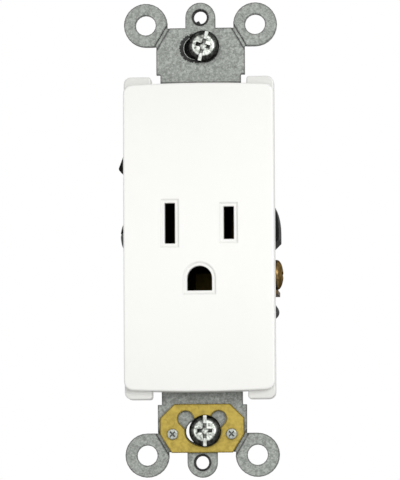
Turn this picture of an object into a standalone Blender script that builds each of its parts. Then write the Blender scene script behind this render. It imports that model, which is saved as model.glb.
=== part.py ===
"""Single decorator wall outlet, 15 A with ground, modelled piece by piece.

Metres, +Z up. The wall face lies in the plane Y = 0, the socket looks towards -Y and the
wiring body goes back towards +Y. The origin is midway between the two box screws, on the
back of the mounting strap.
"""

import math

import bmesh
import bpy
from mathutils import Matrix

# Gaps
TOUCH = 0.0003          # left between two pieces that rest on each other
RUNNING = 0.0003        # left round a shank in the hole it passes through

# Face cover
FACE_WIDTH = 0.0325
FACE_OVERHANG = 0.00165    # top and bottom of the face past the ends of the wiring body
FACE_OFFSET = -0.00016  # middle of the face beside the middle of the socket, as in the photo
FACE_STANDOUT = 0.0070  # front of the face above the front of the strap
FACE_CORNER = 0.0019
FACE_BOW = 0.00035      # how far the top and bottom edges bow out in the middle
FACE_CROWN = 0.0005     # how far the face falls back at its top and bottom
FACE_FILLET = 0.0004
FACE_PLATE = 0.0020
SKIRT = 0.0016
LUG_REACH = 0.00155     # corner lugs beyond the top and bottom of the face
LUG_WIDTH = 0.0059
LUG_THICKNESS = 0.0042
LUG_CORNER = 0.0015     # corner of a lug on the side of the face
LUG_INNER_CORNER = 0.0006
LUG_EDGE = 0.0003
BOSS_RADIUS = 0.0024

# Socket pattern
BLADE_SPACING = 0.0127
BLADE_ROW_Z = 0.0029
GROUND_DROP = 0.01189   # ground pin below the row of blades
BLADE_SLOT_WIDTH = 0.00225
HOT_SLOT_HEIGHT = 0.0071
NEUTRAL_SLOT_HEIGHT = 0.0088
GROUND_HOLE_RADIUS = 0.0027
RIM_BORDER = 0.00085    # sunk border round each opening
RIM_DEPTH = 0.0003

# Mounting strap
STRAP_THICKNESS = 0.0013
PLATE_SCREW_SPACING = 0.0968
BOX_SCREW_SPACING = 0.0833
EAR_SPACING_X = 0.02384
EAR_SPACING_Z = 0.0936
EAR_RADIUS = 0.00475
EAR_HOLE_RADIUS = 0.0022
END_PLATE_WIDTH = 0.01926
END_PLATE_EDGE_Z = 0.0461
NECK_WIDTH = 0.0175
NECK_STEP_Z = 0.0359
TAB_RADIUS = 0.00325
TAPPED_HOLE_RADIUS = 0.00175
SLOT_LENGTH = 0.0072
SLOT_WIDTH = 0.0049
SCORE_WIDTH = 0.0009
SCORE_DEPTH = 0.00025
SCORE_OVERRUN = 0.0008  # how far a score runs past the edge of the ear
LUG_RELIEF = 0.0005     # cut beside the ground lug so that it folds cleanly
FRAME_INSET = 0.0009    # strap frame inside the side of the face
FRAME_CORNER = 0.0020

# Wiring body
BODY_INSET = 0.0016     # side of the body inside the side of the face
BODY_HEIGHT = 0.0634
BODY_DEPTH = 0.0215
BODY_CORNER = 0.0020
BODY_EDGE = 0.0006
TOWER_WALL = 0.0014
TOWER_CORNER = 0.0010

# Contacts
SHEET = 0.0008
LEAF_GAP = 0.0011       # between the two leaves that grip a blade
LEAF_FLARE = 0.0010     # how far each leaf opens at its mouth
LEAF_LEAD = 0.0025      # length of the flared mouth
STRIP_SETBACK = 0.0002  # edge of a contact's floor strip inside the edge of its leaves
GROUND_GRIP = 0.0044    # between the leaves that grip the ground pin
GROUND_LEAF_HEIGHT = 0.0050
CONTACT_MOUTH_Y = 0.0005
CONTACT_FLOOR_Y = 0.0128
CHAMBER_MARGIN = 0.0006

# Terminals
TERMINAL_INSET = 0.00255   # outer side of a terminal plate inside the side of the body
TERMINAL_DEPTH = 0.0090    # screw axis behind the strap
TERMINAL_PLATE_HALF = 0.0044
HOT_TERMINAL_Z = -0.0072
NEUTRAL_TERMINAL_Z = 0.00156
GROUND_ABOVE_ASSEMBLY = 0.0088  # ground screw above the lower assembly screws
WIRE_GAP = 0.0019
CLAMP_SHEET = 0.0009
CLAMP_DEPTH = 0.0095
CLAMP_TOP = 0.0044         # clamp plate above the screw axis
CLAMP_LIP = 0.0023         # turned-out lower edge
TERMINAL_HEAD_RADIUS = 0.0033
TERMINAL_HEAD_EDGE = 0.0007
TERMINAL_HEAD_DOME = 0.0014
TERMINAL_SHANK_RADIUS = 0.00205
TERMINAL_SHANK_LENGTH = 0.0053
TERMINAL_POINT = 0.0005
NEUTRAL_BACKED_OUT = 0.0011  # how much further out the neutral screw stands in the photo
TERMINAL_TRAVEL = 0.0016   # inward travel that closes a clamp
WELL_FLOOR = 0.0001        # floor of a terminal well inside the terminal plate
WELL_REACH = 0.0100
WIRE_HOLE_RADIUS = 0.0013
WIRE_HOLE_OFFSET = 0.0034
WIRE_FUNNEL = 0.0006       # depth of the lead-in at the back of a wire hole

# Wire barriers on the sides of the body
BARRIER_FRONT_Y = 0.0030
BARRIER_BACK_Y = 0.0150
HUMP_REACH = 0.0166
HUMP_ABOVE_SCREW = 0.0057
HUMP_CHAMFER = 0.0016
HUMP_FLAT = 0.0022
HUMP_ARCH = 0.0070
FIN_REACH = 0.0182
FIN_LOW_Z = 0.0147
FIN_CHAMFER = 0.0009
FIN_FLAT = 0.0004
FIN_SLOPE = 0.0045         # height of the long slope above the point of the fin
FIN_SLOPE_IN = 0.0017      # how far that slope leans in
FIN_FRONT_Y = 0.0023
FIN_BACK_Y = 0.0085
BEAD_BELOW_SCREW = 0.0078
BEAD_INSET = 0.0002        # middle of the bead inside the side of the body
BEAD_RADIUS = 0.0016

# Grounding clip on the lower end of the strap
CLIP_SHEET = 0.0006
CLIP_WIDTH = 0.0182
CLIP_TOP_Z = -0.0358
CLIP_BOTTOM_Z = -0.0463
CLIP_TOP_HALF = 0.0060
CLIP_BOTTOM_HALF = 0.0066
CLIP_SIDE_TOP_Z = -0.0388
CLIP_SIDE_BOTTOM_Z = -0.0423
CLIP_LOBE_X = 0.00358
CLIP_LOBE_RISE = 0.0027
CLIP_LOBE_RADIUS = 0.00172
CLIP_TONGUE_HALF = 0.0014
CLIP_HOLE_HALF_X = 0.00375
CLIP_HOLE_DROP = 0.0032
CLIP_RIVET_SPACING = 0.01274
CLIP_RIVET_Z = -0.0423
RIVET_RADIUS = 0.0006
RIVET_RIM = 0.00055        # how far a rivet head reaches past its shank
RIVET_HEAD = 0.0004

# Screws and washer
BOX_SCREW_RADIUS = 0.00175
BOX_SCREW_LENGTH = 0.0187
BOX_SCREW_HEAD_RADIUS = 0.00345
BOX_SCREW_HEAD = 0.0021
BOX_SCREW_POINT = 0.0007
BOX_SCREW_OFFSET = 0.0007  # rest place of both box screws along their slots
TOP_SCREW_RISE = 0.0003    # how high the upper screw sits in its slot
TOP_SCREW_TURN = math.radians(15)
HOT_SCREW_TURN = math.radians(80)
NEUTRAL_SCREW_TURN = math.radians(20)
GROUND_SCREW_TURN = math.radians(50)
RECESS_WIDTH = 0.0010
RECESS_DEPTH = 0.0008
CROSS_LENGTH = 0.0036
CROSS_DEPTH = 0.0014
WASHER_WIDTH = 0.0108
WASHER_HEIGHT = 0.0084
WASHER_THICKNESS = 0.0008
ASSEMBLY_SIDE_INSET = 0.00305  # screw axis inside the side of the body
ASSEMBLY_END_INSET = 0.0034    # screw axis inside the end of the body
ASSEMBLY_RADIUS = 0.00130
ASSEMBLY_HEAD_RADIUS = 0.0021
ASSEMBLY_HEAD = 0.0014
ASSEMBLY_TIP_Y = -0.0050
ASSEMBLY_POINT = 0.0010
GROUND_RIVET_Z = -0.0186

# Levels along Y, front to back
STRAP_FRONT = -STRAP_THICKNESS
FACE_FRONT = STRAP_FRONT - FACE_STANDOUT
PLATE_INNER = FACE_FRONT + FACE_PLATE
COVER_BACK = STRAP_FRONT - TOUCH
TOWER_TOP = PLATE_INNER + TOUCH
BODY_FRONT = TOUCH
BODY_BACK = BODY_FRONT + BODY_DEPTH
PAST = 0.004            # how far a cutter runs past what it cuts
OVERLAP = 0.001         # how far two joined forms run into each other

# Half sizes and places that follow from the sizes above
FACE_HALF_X = FACE_WIDTH / 2
FACE_HALF_Z = BODY_HEIGHT / 2 + FACE_OVERHANG
FRAME_HALF_X = FACE_HALF_X - FRAME_INSET
BODY_HALF_X = FACE_HALF_X - BODY_INSET
BODY_HALF_Z = BODY_HEIGHT / 2
GROUND_TERMINAL_Z = GROUND_ABOVE_ASSEMBLY - (BODY_HALF_Z - ASSEMBLY_END_INSET)
BLADE_X = BLADE_SPACING / 2
GROUND_Z = BLADE_ROW_Z - GROUND_DROP
CHAMBER_HALF = LEAF_GAP / 2 + SHEET + LEAF_FLARE + TOUCH
GROUND_CHAMBER_HALF = GROUND_GRIP / 2 + SHEET + LEAF_FLARE + TOUCH
TOWER_HALF_X = BLADE_X + CHAMBER_HALF + TOWER_WALL
TOWER_TOP_Z = BLADE_ROW_Z + NEUTRAL_SLOT_HEIGHT / 2 + CHAMBER_MARGIN + TOWER_WALL
TOWER_BOTTOM_Z = GROUND_Z - GROUND_LEAF_HEIGHT / 2 - CHAMBER_MARGIN - TOWER_WALL
GROUND_LEG_Z = TOWER_BOTTOM_Z - SHEET
CHAMBER_FLOOR = CONTACT_FLOOR_Y + TOUCH
TERMINAL_X = BODY_HALF_X - TERMINAL_INSET
CLAMP_X = TERMINAL_X + WIRE_GAP
SEAT_X = CLAMP_X + CLAMP_SHEET + TOUCH
BOX_SCREW_Z = BOX_SCREW_SPACING / 2
PLATE_SCREW_Z = PLATE_SCREW_SPACING / 2
EAR_X = EAR_SPACING_X / 2
EAR_Z = EAR_SPACING_Z / 2
LUG_TOP_Z = FACE_HALF_Z + LUG_REACH
CLIP_BACK = STRAP_FRONT - TOUCH
CLIP_FRONT = CLIP_BACK - CLIP_SHEET


# Collections and materials

def clear_scene():
    for leftover in list(bpy.data.objects):
        bpy.data.objects.remove(leftover)


def collection(name):
    made = bpy.data.collections.new(name)
    bpy.context.scene.collection.children.link(made)
    return made


def material(name, colour, roughness, metallic=0.0):
    made = bpy.data.materials.new(name)
    made.use_nodes = True
    shader = made.node_tree.nodes["Principled BSDF"]
    shader.inputs["Base Color"].default_value = (*colour, 1.0)
    shader.inputs["Roughness"].default_value = roughness
    shader.inputs["Metallic"].default_value = metallic
    return made


# Outlines: closed lists of points in the plane of a plate

def arc(centre, radius, start, end, steps):
    """Points of a circle, or of an ellipse if radius is a pair, from angle start to end in degrees."""
    across, up = radius if isinstance(radius, tuple) else (radius, radius)
    turn = [math.radians(start + (end - start) * i / steps) for i in range(steps + 1)]
    return [(centre[0] + across * math.cos(a), centre[1] + up * math.sin(a)) for a in turn]


def circle(centre, radius, steps=20):
    return arc(centre, radius, 0, 360, steps)[:-1]


def rectangle(low, high, corner=0.0, steps=4):
    if corner <= 0:
        return [low, (high[0], low[1]), high, (low[0], high[1])]
    a, b, c, d = low[0] + corner, high[0] - corner, low[1] + corner, high[1] - corner
    return (arc((b, d), corner, 0, 90, steps) + arc((a, d), corner, 90, 180, steps)
            + arc((a, c), corner, 180, 270, steps) + arc((b, c), corner, 270, 360, steps))


def obround(centre, length, width, steps=9):
    half, radius = (length - width) / 2, width / 2
    return (arc((centre[0] + half, centre[1]), radius, -90, 90, steps)
            + arc((centre[0] - half, centre[1]), radius, 90, 270, steps))


def mirrored(points):
    """The same outline on the other side of X = 0."""
    return [(-x, z) for x, z in reversed(points)]


def shifted(points):
    """The same outline moved across with the face."""
    return [(x + FACE_OFFSET, z) for x, z in points]


def face_outline(inset):
    """Outline of the face, drawn in by inset, with bowed top and bottom edges."""
    half_x, half_z = FACE_HALF_X - inset, FACE_HALF_Z - inset
    corner = max(FACE_CORNER - inset, 0.0004)
    reach, rise = half_x - corner, half_z - FACE_BOW - corner
    bow = [(reach * (1 - 2 * i / 8), half_z - FACE_BOW * (1 - 2 * i / 8) ** 2) for i in range(1, 8)]
    top = arc((reach, rise), corner, 0, 90, 5) + bow + arc((-reach, rise), corner, 90, 180, 5)
    return shifted(top + [(-x, -z) for x, z in top])


def lug_outline(side, end):
    """Corner lug of the face, rounder on the side of the face than towards its middle."""
    root, top = FACE_HALF_Z - PAST, LUG_TOP_Z
    outer, inner = FACE_HALF_X, FACE_HALF_X - LUG_WIDTH
    points = [(inner, root), (outer, root)]
    points += arc((outer - LUG_CORNER, top - LUG_CORNER), LUG_CORNER, 0, 90, 4)
    points += arc((inner + LUG_INNER_CORNER, top - LUG_INNER_CORNER), LUG_INNER_CORNER, 90, 180, 3)
    points = [(x, end * z) for x, z in points]
    return shifted(points if side > 0 else mirrored(points))


def ground_hole_outline(grow=0.0):
    """Round-topped hole for the ground pin, with a flat lower edge."""
    radius = GROUND_HOLE_RADIUS + grow
    low = GROUND_Z - radius
    return arc((0, GROUND_Z), radius, 0, 180, 14) + [(-radius, low), (radius, low)]


def slot_outline(side, height, grow=0.0):
    centre, half = side * BLADE_X, BLADE_SLOT_WIDTH / 2 + grow
    low, high = BLADE_ROW_Z - height / 2 - grow, BLADE_ROW_Z + height / 2 + grow
    return rectangle((centre - half, low), (centre + half, high))


def strap_end_outline():
    """Right half of the strap's upper end, from the tab down to the frame."""
    drop = END_PLATE_EDGE_Z - EAR_Z
    meet = 180 - math.degrees(math.asin(drop / EAR_RADIUS))
    half, neck = END_PLATE_WIDTH / 2, NECK_WIDTH / 2
    points = arc((0, PLATE_SCREW_Z), TAB_RADIUS, 90, 0, 8)
    points += [(TAB_RADIUS, END_PLATE_EDGE_Z)]
    points += arc((EAR_X, EAR_Z), EAR_RADIUS, meet, -90, 22)
    points += [(half, EAR_Z - EAR_RADIUS), (half, NECK_STEP_Z), (neck, NECK_STEP_Z)]
    points += [(neck, BODY_HALF_Z)]
    points += arc((FRAME_HALF_X - FRAME_CORNER, BODY_HALF_Z - FRAME_CORNER), FRAME_CORNER, 90, 0, 4)
    return points


def strap_outline():
    """Whole strap blank. The left edge is notched where the ground lug is folded back."""
    upper = strap_end_outline()
    lower = [(x, -z) for x, z in reversed(upper)]
    right = upper + lower
    notch_low, notch_high = lug_span()
    left = mirrored(right)[1:-1]
    notch_low, notch_high = notch_low - LUG_RELIEF, notch_high + LUG_RELIEF
    edge = -TERMINAL_X + STRAP_THICKNESS / 3
    notch = [(-FRAME_HALF_X, notch_low), (edge, notch_low), (edge, notch_high), (-FRAME_HALF_X, notch_high)]
    first_above = next(i for i, (x, z) in enumerate(left) if z > notch_high)
    return right + left[:first_above] + notch + left[first_above:]


def lug_span():
    return GROUND_TERMINAL_Z - TERMINAL_PLATE_HALF, GROUND_TERMINAL_Z + TERMINAL_PLATE_HALF


def clip_outline():
    half = CLIP_WIDTH / 2
    right = [(CLIP_BOTTOM_HALF, CLIP_BOTTOM_Z), (half, CLIP_SIDE_BOTTOM_Z),
             (half, CLIP_SIDE_TOP_Z), (CLIP_TOP_HALF, CLIP_TOP_Z)]
    return right + mirrored(right)


def clip_hole_outline():
    """Heart-shaped hole whose two lobes leave a tongue that presses on the screw."""
    axis = -BOX_SCREW_Z
    lobe = (CLIP_LOBE_X, axis + CLIP_LOBE_RISE)
    tip = axis + BOX_SCREW_RADIUS + RUNNING
    right = arc((0, axis), (CLIP_HOLE_HALF_X, CLIP_HOLE_DROP), -90, 8, 9)
    right += arc(lobe, CLIP_LOBE_RADIUS, -32, 165, 12)
    right += [(CLIP_TONGUE_HALF, tip)]
    return right + mirrored(right)[:-1]


def hump_outline(side, low):
    """Wire barrier standing out of the body's side above a terminal: chamfered below, arched above."""
    root = BODY_HALF_X - OVERLAP
    start = low + HUMP_CHAMFER + HUMP_FLAT
    points = [(root, low), (HUMP_REACH - HUMP_CHAMFER, low), (HUMP_REACH, low + HUMP_CHAMFER)]
    points += arc((root, start), (HUMP_REACH - root, HUMP_ARCH), 0, 90, 8)
    return points if side > 0 else mirrored(points)


def fin_outline():
    """Fin on the neutral side: chamfered below, with a long slope above."""
    root = BODY_HALF_X - OVERLAP
    start = FIN_LOW_Z + FIN_CHAMFER + FIN_FLAT
    top = start + FIN_SLOPE
    points = [(root, FIN_LOW_Z), (FIN_REACH - FIN_CHAMFER, FIN_LOW_Z), (FIN_REACH, FIN_LOW_Z + FIN_CHAMFER)]
    points += [(FIN_REACH, start), (FIN_REACH - FIN_SLOPE_IN, top), (root, top)]
    return mirrored(points)


# Solids

ROTATION = {"front": (math.pi / 2, 0, 0), "side": (math.pi / 2, 0, math.pi / 2), "top": (0, 0, 0)}
NORMAL = {"front": "y", "side": "x", "top": "z"}
OUTWARD = {"+x": (0, math.pi / 2, 0), "-x": (0, -math.pi / 2, 0), "-y": (math.pi / 2, 0, 0),
           "+y": (-math.pi / 2, 0, 0)}


def finished(obj, name, smooth_angle=35):
    obj.name = name
    obj.data.name = name
    obj.data.shade_smooth()
    obj.data.set_sharp_from_angle(angle=math.radians(smooth_angle))
    return obj


def mesh_of(curve_object):
    """The curve's solid as a mesh object, with its caps welded to its sides."""
    graph = bpy.context.evaluated_depsgraph_get()
    mesh = bpy.data.meshes.new_from_object(curve_object.evaluated_get(graph))
    shape = bmesh.new()
    shape.from_mesh(mesh)
    bmesh.ops.remove_doubles(shape, verts=shape.verts, dist=1e-6)
    bmesh.ops.recalc_face_normals(shape, faces=shape.faces)
    shape.to_mesh(mesh)
    shape.free()
    made = bpy.data.objects.new(curve_object.name, mesh)
    bpy.context.scene.collection.objects.link(made)
    made.matrix_world = curve_object.matrix_world
    bpy.data.objects.remove(curve_object)
    return made


def plate(name, plane, loops, low, high, edge=0.0, edge_steps=2):
    """Flat outline with holes, extruded from low to high along the plane's normal."""
    curve = bpy.data.curves.new(name, "CURVE")
    curve.dimensions = "2D"
    curve.fill_mode = "BOTH"
    curve.extrude = (high - low) / 2 - edge
    curve.bevel_depth = edge
    curve.bevel_resolution = edge_steps
    curve.offset = -edge
    for points in loops:
        spline = curve.splines.new("POLY")
        spline.points.add(len(points) - 1)
        for point, (across, up) in zip(spline.points, points):
            point.co = (across, up, 0, 1)
        spline.use_cyclic_u = True
    drawn = bpy.data.objects.new(name, curve)
    bpy.context.scene.collection.objects.link(drawn)
    drawn.rotation_euler = ROTATION[plane]
    drawn.location["xyz".index(NORMAL[plane])] = (low + high) / 2
    bpy.context.view_layer.update()
    return finished(mesh_of(drawn), name)


def block(name, low, high):
    middle = [(a + b) / 2 for a, b in zip(low, high)]
    bpy.ops.mesh.primitive_cube_add(size=1, location=middle)
    made = bpy.context.object
    made.scale = [b - a for a, b in zip(low, high)]
    bpy.ops.object.transform_apply(location=False, rotation=False, scale=True)
    return finished(made, name)


def rod(name, radius, start, end, sides=20, tip_radius=None):
    """Cylinder, or cone if tip_radius is given, between two points that differ along one axis."""
    axis = next(i for i in range(3) if abs(start[i] - end[i]) > 1e-9)
    length = abs(end[axis] - start[axis])
    middle = [(a + b) / 2 for a, b in zip(start, end)]
    letter = ("+" if end[axis] > start[axis] else "-") + "xyz"[axis]
    bpy.ops.mesh.primitive_cone_add(
        vertices=sides, radius1=radius, radius2=radius if tip_radius is None else tip_radius,
        depth=length, location=middle, rotation=OUTWARD.get(letter, (0, 0, 0)))
    return finished(bpy.context.object, name)


def turned(name, profile, place, outward, steps=28):
    """Profile of (radius, height) pairs, top to bottom, turned about its axis."""
    mesh = bpy.data.meshes.new(name)
    points = [(radius, 0, height) for radius, height in profile]
    mesh.from_pydata(points, [(i, i + 1) for i in range(len(points) - 1)], [])
    made = bpy.data.objects.new(name, mesh)
    bpy.context.scene.collection.objects.link(made)
    made.location = place
    made.rotation_euler = OUTWARD[outward]
    spin = made.modifiers.new("Turn", "SCREW")
    spin.steps = spin.render_steps = steps
    spin.use_merge_vertices = True
    spin.merge_threshold = 1e-5
    spin.use_smooth_shade = True
    return made


def strip(name, plane, path, low, high, thickness):
    """Sheet-metal strip that follows path in the plane, low to high across it."""
    ribbon = bmesh.new()
    edges = []
    for level in (low, high):
        row = []
        for across, up in path:
            place = [across, up]
            place.insert("xyz".index(NORMAL[plane]), level)
            row.append(ribbon.verts.new(place))
        edges.append(row)
    for i in range(len(path) - 1):
        ribbon.faces.new((edges[0][i], edges[0][i + 1], edges[1][i + 1], edges[1][i]))
    bmesh.ops.recalc_face_normals(ribbon, faces=ribbon.faces)
    mesh = bpy.data.meshes.new(name)
    ribbon.to_mesh(mesh)
    ribbon.free()
    made = bpy.data.objects.new(name, mesh)
    bpy.context.scene.collection.objects.link(made)
    shell = made.modifiers.new("Sheet", "SOLIDIFY")
    shell.thickness = thickness
    shell.offset = 0
    shell.use_even_offset = True
    return made


def combine(part, tool, operation, solver="EXACT"):
    """Joins a tool to the part, or cuts it out, and puts the tool away."""
    step = part.modifiers.new(f"{operation.title()} {tool.name}", "BOOLEAN")
    step.operation = operation
    step.solver = solver
    step.object = tool
    tool.hide_render = True
    tool.display_type = "WIRE"
    for holder in list(tool.users_collection):
        holder.objects.unlink(tool)
    CUTTERS.objects.link(tool)


def cut(part, *tools):
    for tool in tools:
        combine(part, tool, "DIFFERENCE")


def join(part, *tools):
    for tool in tools:
        combine(part, tool, "UNION")


def keep(part, finish):
    """Puts a finished part in the object's collection with its material."""
    part.data.materials.clear()
    part.data.materials.append(finish)
    for holder in list(part.users_collection):
        holder.objects.unlink(part)
    OUTLET.objects.link(part)
    return part


# Face cover

def crowned(part):
    """Cuts the face into bands and lets it fall back towards its top and bottom."""
    part.data.transform(part.matrix_world)
    part.matrix_world.identity()
    shape = bmesh.new()
    shape.from_mesh(part.data)
    middle = (FACE_FRONT + COVER_BACK) / 2
    for i in range(1, 14):
        level = FACE_HALF_Z * (2 * i / 14 - 1)
        everything = shape.verts[:] + shape.edges[:] + shape.faces[:]
        bmesh.ops.bisect_plane(shape, geom=everything, plane_co=(0, 0, level), plane_no=(0, 0, 1))
    for vert in shape.verts:
        if vert.co.y < middle:
            vert.co.y += FACE_CROWN * (vert.co.z / FACE_HALF_Z) ** 2
    shape.to_mesh(part.data)
    shape.free()


def make_face_cover():
    cover = plate("face_cover", "front", [face_outline(0)], FACE_FRONT, COVER_BACK, FACE_FILLET, 3)
    crowned(cover)
    for side in (-1, 1):
        for end in (-1, 1):
            front = COVER_BACK - LUG_THICKNESS
            join(cover, plate("lug", "front", [lug_outline(side, end)], front, COVER_BACK, LUG_EDGE, 1))
    hollow = face_outline(SKIRT)
    cut(cover, plate("cover_hollow", "front", [hollow], PLATE_INNER, COVER_BACK + PAST))
    for x, z in assembly_places():
        join(cover, rod("boss", BOSS_RADIUS, (x, PLATE_INNER - OVERLAP / 2, z), (x, COVER_BACK, z)))
        hole = ASSEMBLY_RADIUS + RUNNING
        cut(cover, rod("boss_hole", hole, (x, ASSEMBLY_TIP_Y - TOUCH, z), (x, COVER_BACK + PAST, z), 16))
    start, through = FACE_FRONT - PAST, PLATE_INNER + OVERLAP
    for side, height in ((-1, NEUTRAL_SLOT_HEIGHT), (1, HOT_SLOT_HEIGHT)):
        sunk = slot_outline(side, height, RIM_BORDER)
        cut(cover, plate("slot_rim", "front", [sunk], start, FACE_FRONT + RIM_DEPTH, RIM_DEPTH, 0))
        cut(cover, plate("slot", "front", [slot_outline(side, height)], start, through))
    sunk = ground_hole_outline(RIM_BORDER)
    floor = FACE_FRONT + RIM_DEPTH + FACE_CROWN * (GROUND_Z / FACE_HALF_Z) ** 2
    cut(cover, plate("ground_rim", "front", [sunk], start, floor, RIM_DEPTH, 0))
    cut(cover, plate("ground_hole", "front", [ground_hole_outline()], start, through))
    return keep(cover, WHITE)


def assembly_places():
    half_x, half_z = BODY_HALF_X - ASSEMBLY_SIDE_INSET, BODY_HALF_Z - ASSEMBLY_END_INSET
    return [(-half_x, half_z), (half_x, half_z), (-half_x, -half_z), (half_x, -half_z)]


# Mounting strap

def make_mounting_strap():
    window = rectangle((-TOWER_HALF_X - TOUCH, TOWER_BOTTOM_Z - TOUCH),
                       (TOWER_HALF_X + TOUCH, TOWER_TOP_Z + TOUCH), TOWER_CORNER)
    loops = [strap_outline(), window]
    for end in (-1, 1):
        loops.append(obround((0, end * BOX_SCREW_Z), SLOT_LENGTH, SLOT_WIDTH))
        loops.append(circle((0, end * PLATE_SCREW_Z), TAPPED_HOLE_RADIUS))
        loops += [circle((side * EAR_X, end * EAR_Z), EAR_HOLE_RADIUS) for side in (-1, 1)]
    loops += [circle(place, ASSEMBLY_RADIUS + RUNNING, 16) for place in assembly_places()]
    loops += [circle(place, RIVET_RADIUS + RUNNING, 14) for place in clip_rivet_places()]
    loops.append(circle((0, GROUND_RIVET_Z), RIVET_RADIUS + RUNNING, 14))
    strap = plate("mounting_strap", "front", loops, STRAP_FRONT, 0)
    low, high = lug_span()
    inner = -TERMINAL_X + STRAP_THICKNESS
    lug = block("ground_lug", (-TERMINAL_X, STRAP_FRONT / 2, low), (inner, CONTACT_FLOOR_Y, high))
    combine(strap, lug, "UNION", "MANIFOLD")
    reach = -TERMINAL_X - PAST, inner + PAST
    hole = TERMINAL_SHANK_RADIUS + RUNNING
    cut(strap, rod("lug_hole", hole, (reach[0], TERMINAL_DEPTH, GROUND_TERMINAL_Z),
                   (reach[1], TERMINAL_DEPTH, GROUND_TERMINAL_Z)))
    for side in (-1, 1):
        for end in (-1, 1):
            for level in (STRAP_FRONT, 0):
                cut(strap, score(side, end, level))
    return keep(strap, STEEL)


def score(side, end, level):
    """Shallow groove across the root of a plaster ear, where the ear is snapped off."""
    near = (EAR_X - math.sqrt(EAR_RADIUS ** 2 - (END_PLATE_EDGE_Z - EAR_Z) ** 2), END_PLATE_EDGE_Z)
    far = (END_PLATE_WIDTH / 2, EAR_Z - EAR_RADIUS)
    middle = (side * (near[0] + far[0]) / 2, level, end * (near[1] + far[1]) / 2)
    length = math.dist(near, far) + 2 * SCORE_OVERRUN
    lean = math.atan2(far[0] - near[0], near[1] - far[1]) * -side * end
    half = SCORE_WIDTH / 2
    groove = block("score", (-half, -SCORE_DEPTH, -length / 2), (half, SCORE_DEPTH, length / 2))
    groove.location = middle
    groove.rotation_euler = (0, lean, 0)
    return groove


def clip_rivet_places():
    half = CLIP_RIVET_SPACING / 2
    return [(-half, CLIP_RIVET_Z), (half, CLIP_RIVET_Z)]


def make_ground_clip():
    loops = [clip_outline(), clip_hole_outline()]
    loops += [circle(place, RIVET_RADIUS + RUNNING, 14) for place in clip_rivet_places()]
    return keep(plate("ground_clip", "front", loops, CLIP_FRONT, CLIP_BACK), BRASS)


def make_rivet(name, place, front, back):
    """Rivet whose two heads close on the stack between front and back."""
    shank, wide = RIVET_RADIUS, RIVET_RADIUS + RIVET_RIM
    profile = [(0, -front + TOUCH + RIVET_HEAD), (wide * 0.7, -front + TOUCH + RIVET_HEAD),
               (wide, -front + TOUCH + RIVET_HEAD * 0.4), (wide, -front + TOUCH), (shank, -front + TOUCH),
               (shank, -back - TOUCH), (wide, -back - TOUCH), (wide, -back - TOUCH - RIVET_HEAD),
               (0, -back - TOUCH - RIVET_HEAD)]
    return keep(turned(name, profile, (place[0], 0, place[1]), "-y", 16), STEEL)


# Wiring body

def terminal_cutters(side, axis_z, open_front):
    """Well, shank bore and wire holes of one terminal on the side of the body."""
    inner, outer = TERMINAL_X - WELL_FLOOR, TERMINAL_X + WELL_REACH
    front = BODY_FRONT - PAST if open_front else BARRIER_FRONT_Y
    if open_front:
        inner -= STRAP_THICKNESS + TOUCH
    low = axis_z - CLAMP_TOP - CLAMP_SHEET - TOUCH
    across = sorted((side * inner, side * outer))
    top = axis_z + CLAMP_TOP + 2 * TOUCH
    tools = [block("well", (across[0], front, low), (across[1], BARRIER_BACK_Y, top))]
    tip = SEAT_X - TERMINAL_SHANK_LENGTH - TERMINAL_TRAVEL - TOUCH
    bore = TERMINAL_SHANK_RADIUS + RUNNING
    tools.append(rod("shank_bore", bore, (side * tip, TERMINAL_DEPTH, axis_z),
                     (side * (TERMINAL_X + OVERLAP), TERMINAL_DEPTH, axis_z)))
    wire_x = side * (TERMINAL_X + WIRE_GAP / 2)
    mouth_x, throat = wire_x - side * WIRE_FUNNEL / 2, WIRE_HOLE_RADIUS * 0.8
    for level in (axis_z - WIRE_HOLE_OFFSET, axis_z + WIRE_HOLE_OFFSET):
        start, end = (wire_x, BARRIER_BACK_Y - OVERLAP, level), (wire_x, BODY_BACK + PAST, level)
        tools.append(rod("wire_hole", WIRE_HOLE_RADIUS, start, end, 16))
        start, end = (mouth_x, BODY_BACK - WIRE_FUNNEL, level), (mouth_x, BODY_BACK + WIRE_FUNNEL, level)
        tools.append(rod("wire_funnel", throat, start, end, 16, throat + 2 * WIRE_FUNNEL))
    return tools


def terminal_span(slot_height, axis_z):
    """Lower and upper edge of the terminal plate, which reaches from the screw to the blade."""
    low = min(axis_z - TERMINAL_PLATE_HALF, BLADE_ROW_Z - slot_height / 2)
    high = max(axis_z + TERMINAL_PLATE_HALF, BLADE_ROW_Z + slot_height / 2)
    return low, high


def contact_cutters(side, slot_height, axis_z):
    """Chamber for one blade contact, with the channel to its terminal plate."""
    low = BLADE_ROW_Z - slot_height / 2 - CHAMBER_MARGIN
    high = BLADE_ROW_Z + slot_height / 2 + CHAMBER_MARGIN
    across = sorted((side * (BLADE_X - CHAMBER_HALF), side * (BLADE_X + CHAMBER_HALF)))
    tools = [block("chamber", (across[0], TOWER_TOP - PAST, low), (across[1], CHAMBER_FLOOR, high))]
    outer, front = TERMINAL_X + TOUCH, BODY_FRONT - TOUCH / 2
    across = sorted((side * BLADE_X, side * outer))
    tools.append(block("channel", (across[0], front, low), (across[1], CHAMBER_FLOOR, high)))
    low, high = terminal_span(slot_height, axis_z)
    across = sorted((side * (TERMINAL_X - SHEET - TOUCH), side * outer))
    tools.append(block("terminal_slot", (across[0], front, low - TOUCH),
                       (across[1], CHAMBER_FLOOR, high + TOUCH)))
    return tools


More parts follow.
